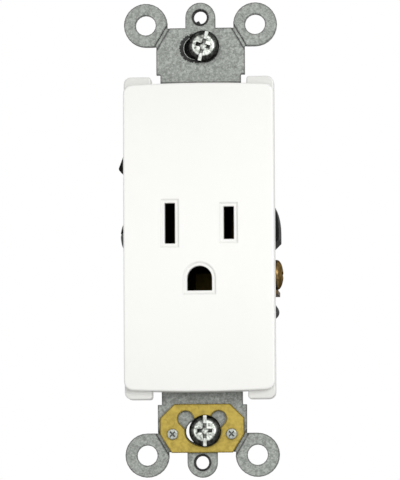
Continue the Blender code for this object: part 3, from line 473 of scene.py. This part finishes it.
WELD = 1e-6  # points of a turned shape closer than this are joined
SHARP_ANGLE = math.radians(38)
CUTTER_RISE = 0.001  # how far a driver's cutter stands above the head
CUTTER_TAPER = (0.75, 0.88, 1)  # its floor over its top
CROSS_WIDTH = 0.9  # arms of a cross over the slot's width
FLAT_NORMAL = 0.7  # a face of the cutter that looks this far up or down is floor
SLOT_REACH = 2.2  # length of a driver slot over the head's radius: it runs out at the rim
CROSS_REACH = 0.0036  # across the cross in a terminal screw or a box screw
THREAD_STEPS = 32  # round a thread
THREAD_SINK = 0.00005  # how far a thread's root is sunk into its core
THREAD_FORM = 0.95, 0.56, 0.44, 0.05  # heights of root, crest, crest and root over the pitch
POINT_INSET = 0.0008  # thread radius less the radius of a machine screw's end


class Recess(NamedTuple):
    """Driver recess in a head. A slot or a cross of no length isn't cut."""
    width: float
    depth: float = 0.0
    reach: float = 0.0
    cross: float = 0.0
    cross_depth: float = 0.0


def linked(name, data):
    """A new object in the scene."""
    made = bpy.data.objects.new(name, data)
    bpy.context.scene.collection.objects.link(made)
    return made


def baked(obj, name):
    """The object's mesh with its modifiers applied; the object is removed."""
    graph = bpy.context.evaluated_depsgraph_get()
    mesh = bpy.data.meshes.new_from_object(obj.evaluated_get(graph))
    mesh.name = name
    bpy.data.objects.remove(obj)
    return mesh


def meshed(shape, name):
    """The mesh of a bmesh, which is freed."""
    mesh = bpy.data.meshes.new(name)
    shape.to_mesh(mesh)
    shape.free()
    return mesh


def turned(profile, steps, rise=0.0, turns=1):
    """Profile of (radius, height) pairs turned about Z, as a helix where rise is set."""
    mesh = bpy.data.meshes.new("profile")
    points = [(radius, 0, height) for radius, height in profile]
    mesh.from_pydata(points, [(i, i + 1) for i in range(len(points) - 1)], [])
    spun = linked("spun", mesh)
    screw = spun.modifiers.new("Turn", "SCREW")
    screw.steps = screw.render_steps = steps
    screw.screw_offset = rise
    screw.iterations = turns
    screw.use_merge_vertices = not rise
    screw.merge_threshold = WELD
    screw.use_smooth_shade = True
    return baked(spun, "turned")


def arc(centre, radius, start, end, steps):
    """Points of an elliptic arc between two angles in degrees."""
    angles = [math.radians(start + (end - start) * i / steps) for i in range(steps + 1)]
    return [(centre[0] + radius[0] * math.cos(angle), centre[1] + radius[1] * math.sin(angle))
            for angle in angles]


def pan(head, height, flat, brow, steps):
    """Profile of a pan head: level out to a share of its radius, then round down to a share of
    its height."""
    middle = head * flat, height * brow
    radius = head * (1 - flat), height * (1 - brow)
    return [(0, height)] + arc(middle, radius, start=88, end=4, steps=steps)


def stem(core, length, point, tip):
    """Profile of a screw's core from under its head to the end of its point."""
    return [(core, 0), (core, -length + point), (tip, -length), (0, -length)]


def reserve(mesh):
    """Gives a mesh the empty slots that the finishes of a recess are put in later."""
    while len(mesh.materials) < CROSS + 1:
        mesh.materials.append(None)


def driver_cutter(across, along, deep, top, turn, floor_slot):
    """Tapered block that cuts a driver slot into a head whose top is at a height."""
    shape = bmesh.new()
    bmesh.ops.create_cube(shape, size=1)
    floor = [v for v in shape.verts if v.co.z < 0]
    size = across, along, deep + CUTTER_RISE
    middle = 0, 0, top + (CUTTER_RISE - deep) / 2
    spin = Matrix.Rotation(math.radians(turn), 3, "Z")
    bmesh.ops.scale(shape, vec=size, verts=shape.verts)
    bmesh.ops.scale(shape, vec=CUTTER_TAPER, verts=floor)
    bmesh.ops.translate(shape, vec=middle, verts=shape.verts)
    bmesh.ops.rotate(shape, cent=(0, 0, 0), matrix=spin, verts=shape.verts)
    shape.normal_update()
    for face in shape.faces:
        face.material_index = floor_slot if abs(face.normal.z) > FLAT_NORMAL else WALL
    return meshed(shape, "driver")


def recessed(mesh, top, recess, turn):
    """Cuts a driver recess, turned by an angle in degrees, into the top of a head."""
    reserve(mesh)
    head = linked("head", mesh)
    narrow = recess.width * CROSS_WIDTH
    cuts = (
        (recess.width, recess.reach, recess.depth, FLOOR),
        (narrow, recess.cross, recess.cross_depth, CROSS),
        (recess.cross, narrow, recess.cross_depth, CROSS),
    )
    tools = []
    for across, along, deep, floor_slot in cuts:
        if along <= 0 or across <= 0:
            continue
        cutter = driver_cutter(across, along, deep, top, turn, floor_slot)
        reserve(cutter)
        tools.append(linked("driver", cutter))
        step = head.modifiers.new("Driver", "BOOLEAN")
        step.operation = "DIFFERENCE"
        step.solver = "EXACT"
        step.object = tools[-1]
    bpy.context.view_layer.update()
    made = baked(head, "head")
    for tool in tools:
        bpy.data.objects.remove(tool)
    return made


def gathered(name, meshes):
    """One mesh object of several meshes, shaded smooth up to sharp edges."""
    shape = bmesh.new()
    for mesh in meshes:
        shape.from_mesh(mesh)
    data = meshed(shape, name)
    data.shade_smooth()
    data.set_sharp_from_angle(angle=SHARP_ANGLE)
    return linked(name, data)


def thread(major, depth, pitch, top, bottom):
    """Helical ridge on a shank between two heights."""
    turns = max(int((top - bottom) / pitch) - 1, 1)
    root = major - depth - THREAD_SINK
    heights = [pitch * share for share in THREAD_FORM]
    ridge = list(zip((root, major, major, root), heights))
    mesh = turned(ridge, THREAD_STEPS, pitch, turns)
    mesh.transform(Matrix.Translation((0, 0, bottom)))
    return mesh


def placed(piece, place, outward, body, node, finishes):
    """Sets a screw on its axis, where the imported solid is, and rides it on its body."""
    piece.data.transform(OUTWARD[outward])
    piece.location = place
    for finish in finishes:
        piece.data.materials.append(finish)
    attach(piece, body)
    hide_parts(node)
    return piece


def axis_place(node, axis, seat):
    """Point on a screw's axis: the middle of the node's box across it, and seat along it."""
    low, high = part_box(node)
    place = [(a + b) / 2 for a, b in zip(low, high)]
    place[axis] = seat
    return place


# Pieces

class OUTLET_OT_face(Operator):
    """Finish the moulded face and the wiring body"""
    bl_idname = "outlet.face"
    bl_label = "Face And Body"

    def execute(self, context):
        finish = context.scene.outlet_finish
        dress("face_cover", nylon_finish(finish.nylon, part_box("face_cover")[0].y))
        dress("rear_body", thermoset_finish(finish.thermoset))
        return {"FINISHED"}


class OUTLET_OT_strap(Operator):
    """Finish the mounting strap, its rivet, its tapped holes and the rim of its upper slot"""
    bl_idname = "outlet.strap"
    bl_label = "Strap"

    def execute(self, context):
        finish, sizes = context.scene.outlet_finish, context.scene.outlet_sizes
        steel = steel_finish("galvanised_steel", finish.steel, sizes.edge_shade,
                             sizes.face_height / 2)
        # near-black steel that paints shade: given to the tapped rims, the thread burr and the
        # slot's serration
        dark = steel_finish("painted_shade_steel", times(finish.steel, 0.10))
        # steel 1.3 times brighter, a painted highlight
        painted_highlight = steel_finish("painted_highlight_steel", times(finish.steel, 1.3))
        soften(dress("mounting_strap", steel), sizes.edge_break)
        dress("ground_contact_rivet", steel)
        for label, end in (("upper", 1), ("lower", -1)):
            self.tap(label, end * sizes.plate_screws / 2, sizes, dark)
        self.burr(sizes.plate_screws / 2, sizes, dark)
        # the serration is drawn flat and given the near-black steel as painted shade of its facets
        self.band("slot_serration", sizes, dark, inner=0.00010, outer=0.00105, height=0.00012,
                  teeth=30)
        # painted highlight along the slot's edge
        self.band("slot_edge", sizes, painted_highlight, inner=-0.00003, outer=0.00009, height=0.00016,
                  teeth=0)
        return {"FINISHED"}

    def tap(self, label, level, sizes, finish):
        """Threaded rim of one of the holes for the wall plate's screws, dark with painted shade."""
        outer, inner, deep = 0.00182, 0.00150, 0.00125
        lip, crest, groove, levels = 0.00008, 0.00016, 0.00010, 6
        collar = [(outer, lip), ((outer + inner) / 2, crest), (inner, lip)]
        collar += [(inner - groove * (i % 2), -deep * i / levels) for i in range(levels)]
        collar += [(outer, -deep), (outer, lip)]
        ring = gathered(f"tapped_rim_{label}", [turned(collar, steps=40)])
        self.seat(ring, level, sizes, finish)

    def burr(self, level, sizes, finish):
        """Torn sliver of thread that stands into the upper hole, low on its left side."""
        outer, root, reach = 0.0017, 0.0001, 0.0008
        top, tip, bottom = -0.0002, -0.0005, -0.0009
        start, sweep, steps = 222, 66, 10
        lean, taper = 0.7, 1.5
        shape = bmesh.new()
        rows = []
        for i in range(steps + 1):
            share = i / steps
            angle = math.radians(start + sweep * share)
            inner = outer - root - reach * math.sin(math.pi * share ** lean) ** taper
            corners = (outer, top), (inner, tip), (outer, bottom)
            rows.append([shape.verts.new((r * math.cos(angle), r * math.sin(angle), h))
                         for r, h in corners])
        for near, far in zip(rows, rows[1:]):
            for j in range(3):
                shape.faces.new((near[j], near[j - 1], far[j - 1], far[j]))
        shape.faces.new(rows[0])
        shape.faces.new(reversed(rows[-1]))
        bmesh.ops.recalc_face_normals(shape, faces=shape.faces)
        sliver = gathered("thread_burr", [meshed(shape, "thread_burr")])
        self.seat(sliver, level, sizes, finish)

    def band(self, name, sizes, finish, inner, outer, height, teeth):
        """Raised band round the upper slot, toothed on its outside where teeth is set."""
        curve = bpy.data.curves.new(name, "CURVE")
        curve.dimensions = "2D"
        curve.fill_mode = "BOTH"
        curve.extrude = height / 2
        for grow, bites in ((inner, 0), (outer, teeth)):
            loop = self.slot_loop(sizes, grow, bites)
            spline = curve.splines.new("POLY")
            spline.points.add(len(loop) - 1)
            for point, (across, up) in zip(spline.points, loop):
                point.co = (across, up, 0, 1)
            spline.use_cyclic_u = True
        raised = linked(name, curve)
        bpy.context.view_layer.update()
        ring = gathered(name, [baked(raised, name)])
        self.seat(ring, sizes.box_screws / 2, sizes, finish)

    def slot_loop(self, sizes, grow, bites):
        """Outline of a box-screw slot grown by a width. With bites it is uneven and widest on
        the left."""
        smooth_steps, bite_depth = 72, 0.00042
        even, lean = 0.72, 0.28  # share of the width above the slot, and how much more on the left
        steady, wander, beat = 0.6, 0.4, 5  # shares of a bite that stay and change, and how often
        steps = max(bites * 2, smooth_steps)
        reach = (sizes.slot_length - sizes.slot_width) / 2
        loop = []
        for i in range(steps):
            angle = 2 * math.pi * i / steps
            width, bite = 1, 0
            if bites:
                width = even - lean * math.cos(angle)
                bite = bite_depth * (i % 2) * (steady + wander * math.sin(beat * i))
            radius = sizes.slot_width / 2 + grow * width
            across = math.copysign(reach, math.cos(angle)) + (radius - bite) * math.cos(angle)
            loop.append((across, (radius - bite) * math.sin(angle)))
        return loop

    def seat(self, ring, level, sizes, finish):
        """Turns a detail to the front, sets it on the strap at a height and rides it there."""
        ring.data.transform(OUTWARD["-y"])
        ring.location = (0, -sizes.strap, level)
        ring.data.materials.append(finish)
        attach(ring, BODY)


class OUTLET_OT_clip(Operator):
    """Finish the grounding clip and the contacts, and stake the clip's rivets"""
    bl_idname = "outlet.clip"
    bl_label = "Grounding Clip"

    def execute(self, context):
        finish, sizes = context.scene.outlet_finish, context.scene.outlet_sizes
        brass = brass_finish("brass", finish.brass, sizes.edge_shade)
        soften(dress("ground_clip", brass), sizes.edge_break)
        # painted shade: the contacts deep in the slots get brass a tenth as bright
        shaded = brass_finish("shaded_contact_brass", times(finish.brass, 0.105))
        for node in ("hot_contact", "neutral_contact", "ground_contact"):
            dress(node, shaded)
        # painted shade: the grooves' floors get 0.3 and their walls 0.15 of the steel's colour
        metals = [steel_finish(f"rivet_{part}", times(finish.steel, share))
                  for part, share in (("steel", 1.35), ("groove", 0.3), ("shaded_groove_wall", 0.15))]
        for node in ("clip_rivet_left", "clip_rivet_right"):
            rivet = gathered(node.replace("clip_rivet", "staked_rivet"), [self.staked(node)])
            place = axis_place(node, Y_AXIS, seat=0)
            placed(rivet, place, "-y", BODY, node, metals)
        return {"FINISHED"}

    def staked(self, node):
        """Rivet as long and as wide as its node, with two crossing grooves in its head."""
        shank, dome, flange, groove_depth = 0.0006, 0.00018, 0.0004, 0.00022
        low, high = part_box(node)
        wide = (high.x - low.x) / 2
        top, bottom = -low.y, -high.y
        head = [(0, top)] + arc((wide * 0.7, top - dome), (wide * 0.3, dome),
                                start=90, end=0, steps=4)
        head += [(wide, top - flange), (shank, top - flange), (shank, bottom + flange)]
        head += [(wide, bottom + flange), (wide, bottom), (0, bottom)]
        mesh = turned(head, steps=36)
        for width, turn in ((0.00042, 45), (0.00040, -45)):
            mesh = recessed(mesh, top, Recess(width, groove_depth, wide * 1.5), turn)
        return mesh


class OUTLET_OT_terminals(Operator):
    """Build the threaded terminal screws and finish their clamp plates"""
    bl_idname = "outlet.terminals"
    bl_label = "Terminals"

    def execute(self, context):
        finish, sizes = context.scene.outlet_finish, context.scene.outlet_sizes
        edge, dome, shank, length = 0.0007, 0.0014, 0.00205, 0.0053
        top = edge + dome
        rows = (  # name, direction, colour, material slot, turn of the driver slot in degrees
            ("hot", "+x", finish.aged_brass, "brass", 80),
            ("neutral", "-x", finish.dull_zinc, "bright_zinc", 20),
            ("ground", "-x", finish.green, "green_plated_steel", 50),
        )
        steel = steel_finish("clamp_steel", finish.zinc)
        brass = brass_finish("clamp_brass", times(finish.aged_brass, 0.7))
        for name, outward, colour, slot, turn in rows:
            node = f"{name}_terminal_screw"
            low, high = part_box(node)
            head = (high.z - low.z) / 2
            seat = high.x - edge - dome if outward == "+x" else low.x + edge + dome
            crown = [(0, top)] + arc((0, edge), (head, dome), start=86, end=6, steps=12)
            crown += [(head, edge * 0.8), (head, edge * 0.15), (head * 0.98, 0)]
            crown += stem(shank - sizes.thread_depth, length, point=0.0004,
                          tip=shank - POINT_INSET)
            recess = Recess(sizes.driver_width, depth=0.0009, reach=head * SLOT_REACH,
                            cross=CROSS_REACH, cross_depth=0.0015)
            mesh = recessed(turned(crown, steps=56), top, recess, turn)
            ridge = thread(shank, sizes.thread_depth, sizes.terminal_pitch,
                           top=-0.0003, bottom=-length + 0.0002)
            screw = gathered(f"{name}_binding_screw", [mesh, ridge])
            metals = screw_finishes(f"{name}_screw_plate", colour, head, X_AXIS,
                                    share=0.35, low=0.8)
            place = axis_place(node, X_AXIS, seat)
            placed(screw, place, outward, f"{name}_screw", node, metals)
            soften(dress(f"{name}_clamp_plate", brass if name == "hot" else steel),
                   sizes.edge_break)
        return {"FINISHED"}


class OUTLET_OT_box_screws(Operator):
    """Build the threaded box screws and finish the retaining washer"""
    bl_idname = "outlet.box_screws"
    bl_label = "Box Screws"

    def execute(self, context):
        finish, sizes = context.scene.outlet_finish, context.scene.outlet_sizes
        head, height, shank, length = 0.00345, 0.0021, 0.00175, 0.0187
        metals = screw_finishes("bright_zinc", finish.zinc, head, Y_AXIS)
        crown = pan(head, height, flat=0.60, brow=0.32, steps=10)
        crown += [(head, height * 0.2), (head * 0.97, 0)]
        crown += stem(shank - sizes.thread_depth, length, point=0.0006, tip=shank - POINT_INSET)
        recess = Recess(sizes.driver_width, depth=0.0008, reach=head * SLOT_REACH,
                        cross=CROSS_REACH, cross_depth=0.0014)
        for name, turn in (("top", -15), ("bottom", 0)):
            node = f"mounting_screw_{name}"
            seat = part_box(node)[0].y + height
            mesh = recessed(turned(crown, steps=64), height, recess, turn)
            ridge = thread(shank, sizes.thread_depth, sizes.box_pitch,
                           top=-0.0022, bottom=-length + 0.0003)
            screw = gathered(f"box_screw_{name}", [mesh, ridge])
            place = axis_place(node, Y_AXIS, seat)
            placed(screw, place, "-y", f"{name}_screw", node, metals)
        dress("retaining_washer", fibre_finish(finish.fibre))
        return {"FINISHED"}


class OUTLET_OT_assembly_screws(Operator):
    """Build the long screws that hold body, strap and face together"""
    bl_idname = "outlet.assembly_screws"
    bl_label = "Assembly Screws"

    def execute(self, context):
        finish, sizes = context.scene.outlet_finish, context.scene.outlet_sizes
        head, height, shank = 0.0021, 0.0014, 0.0013
        depth = sizes.thread_depth * 0.8
        first_turn, next_turn = 20, 37  # degrees: no two crosses stand alike
        recess = Recess(width=0.0007, cross=0.0026, cross_depth=0.0009)
        metals = screw_finishes("assembly_zinc", finish.zinc, head, Y_AXIS, share=0.4)
        for i, label in enumerate(("upper_left", "upper_right", "lower_left", "lower_right")):
            node = f"assembly_screw_{label}"
            low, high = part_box(node)
            seat, length = high.y - height, high.y - height - low.y
            crown = pan(head, height, flat=0.7, brow=0.4, steps=6) + [(head, 0)]
            crown += stem(shank - depth, length, point=0.001, tip=shank * 0.3)
            mesh = recessed(turned(crown, steps=32), height, recess, first_turn + next_turn * i)
            ridge = thread(shank, depth, sizes.assembly_pitch,
                           top=-length * 0.55, bottom=-length + 0.0009)
            screw = gathered(f"long_screw_{label}", [mesh, ridge])
            place = axis_place(node, Y_AXIS, seat)
            placed(screw, place, "+y", BODY, node, metals)
        return {"FINISHED"}


# Studio

FLOOR_SIZE, FLOOR_CELLS = 6, 4
SKY_STRENGTH = 0.46
LAMPS = (  # name, place, size, watts
    ("key", (0.45, -0.80, 0.22), 0.5, 4.55),
    ("fill", (-0.6, -0.7, -0.25), 0.8, 2.6),
)
SENSOR_WIDTH = 36
NEAR_CLIP = 0.01
VIEW_ASIDE, VIEW_RISE = -0.00039, -0.00011  # where the middle of the view passes the origin


class OUTLET_OT_studio(Operator):
    """Set up the floor, the light and the camera"""
    bl_idname = "outlet.studio"
    bl_label = "Studio"

    def execute(self, context):
        scene, studio = context.scene, context.scene.outlet_studio
        scene.view_settings.view_transform = "Standard"
        self.lay_floor(studio)
        self.light_world(scene)
        self.hang_lamps()
        self.set_camera(scene, studio)
        return {"FINISHED"}

    def lay_floor(self, studio):
        """Plain pale floor below the outlet."""
        bpy.ops.mesh.primitive_grid_add(x_subdivisions=FLOOR_CELLS, y_subdivisions=FLOOR_CELLS,
                                        size=FLOOR_SIZE, location=(0, 0, studio.floor_drop))
        floor = bpy.context.object
        floor.name = "studio_floor"
        finish = Finish("pale_floor", (0.86, 0.86, 0.86), roughness=0.7)
        light, dark = finish.shades(1.0, 0.97)
        finish.paint(finish.ramp(finish.noise(scale=4, detail=3), [(0.3, dark), (0.7, light)]))
        floor.data.materials.append(finish.material)

    def light_world(self, scene):
        """Soft light all round, and white where it is seen, reflected or looked through."""
        world = bpy.data.worlds.new("studio_white")
        scene.world = world
        world.use_nodes = True
        nodes, links = world.node_tree.nodes, world.node_tree.links
        soft = nodes["Background"]
        white = nodes.new("ShaderNodeBackground")
        for light, strength in ((soft, SKY_STRENGTH), (white, 1.0)):
            light.inputs["Color"].default_value = (1, 1, 1, 1)
            light.inputs["Strength"].default_value = strength
        path = nodes.new("ShaderNodeLightPath")
        seen = path.outputs["Is Camera Ray"]
        for kind in ("Is Glossy Ray", "Is Transmission Ray"):
            either = nodes.new("ShaderNodeMath")
            either.operation = "MAXIMUM"
            links.new(seen, either.inputs[0])
            links.new(path.outputs[kind], either.inputs[1])
            seen = either.outputs["Value"]
        mix = nodes.new("ShaderNodeMixShader")
        links.new(seen, mix.inputs["Fac"])
        links.new(soft.outputs["Background"], mix.inputs[1])
        links.new(white.outputs["Background"], mix.inputs[2])
        links.new(mix.outputs["Shader"], nodes["World Output"].inputs["Surface"])

    def hang_lamps(self):
        """Two softboxes in front, aimed at the middle of the strap."""
        for name, place, size, power in LAMPS:
            lamp = bpy.data.lights.new(f"{name}_softbox", "AREA")
            lamp.size = size
            lamp.energy = power
            box = linked(f"{name}_softbox", lamp)
            box.location = place
            box.rotation_euler = (-Vector(place)).to_track_quat("-Z", "Y").to_euler()

    def set_camera(self, scene, studio):
        """Long lens from the front, a little from below and from the right."""
        lens = bpy.data.cameras.new("front_camera")
        lens.lens = studio.focal
        lens.sensor_width = SENSOR_WIDTH
        lens.clip_start = NEAR_CLIP
        camera = linked("front_camera", lens)
        turn = (Matrix.Rotation(-studio.roll, 3, "Y") @ Matrix.Rotation(-studio.tilt, 3, "X")
                @ Matrix.Rotation(-studio.swing, 3, "Z"))
        back = turn.transposed()
        right, ahead, up = back.col[0], back.col[1], back.col[2]
        aim = Matrix((right, up, -ahead)).transposed()
        place = back @ Vector((VIEW_ASIDE, -studio.distance, VIEW_RISE))
        camera.matrix_world = Matrix.Translation(place) @ aim.to_4x4()
        scene.camera = camera


# Add-on

class OUTLET_PT_panel(Panel):
    """Finishes, sizes and steps of the outlet"""
    bl_idname = "OUTLET_PT_panel"
    bl_label = "Wall Outlet"
    bl_space_type = "VIEW_3D"
    bl_region_type = "UI"
    bl_category = "Outlet"

    def draw(self, context):
        column = self.layout.column()
        for name in GROUPS:
            group = getattr(context.scene, name)
            for setting in group.__annotations__:
                column.prop(group, setting)
        for step in STEPS:
            column.operator(step.bl_idname)


STEPS = (
    OUTLET_OT_face,
    OUTLET_OT_strap,
    OUTLET_OT_clip,
    OUTLET_OT_terminals,
    OUTLET_OT_box_screws,
    OUTLET_OT_assembly_screws,
    OUTLET_OT_studio,
)
GROUPS = {
    "outlet_finish": OutletFinish,
    "outlet_sizes": OutletSizes,
    "outlet_studio": OutletStudio,
}
CLASSES = (*GROUPS.values(), *STEPS, OUTLET_PT_panel)


def register():
    for cls in CLASSES:
        bpy.utils.register_class(cls)
    for name, group in GROUPS.items():
        setattr(bpy.types.Scene, name, PointerProperty(type=group))


def unregister():
    for name in GROUPS:
        delattr(bpy.types.Scene, name)
    for cls in reversed(CLASSES):
        bpy.utils.unregister_class(cls)


def main():
    register()
    bpy.ops.outlet.face()
    bpy.ops.outlet.strap()
    bpy.ops.outlet.clip()
    bpy.ops.outlet.terminals()
    bpy.ops.outlet.box_screws()
    bpy.ops.outlet.assembly_screws()
    bpy.ops.outlet.studio()


if __name__ == "__main__":
    main()
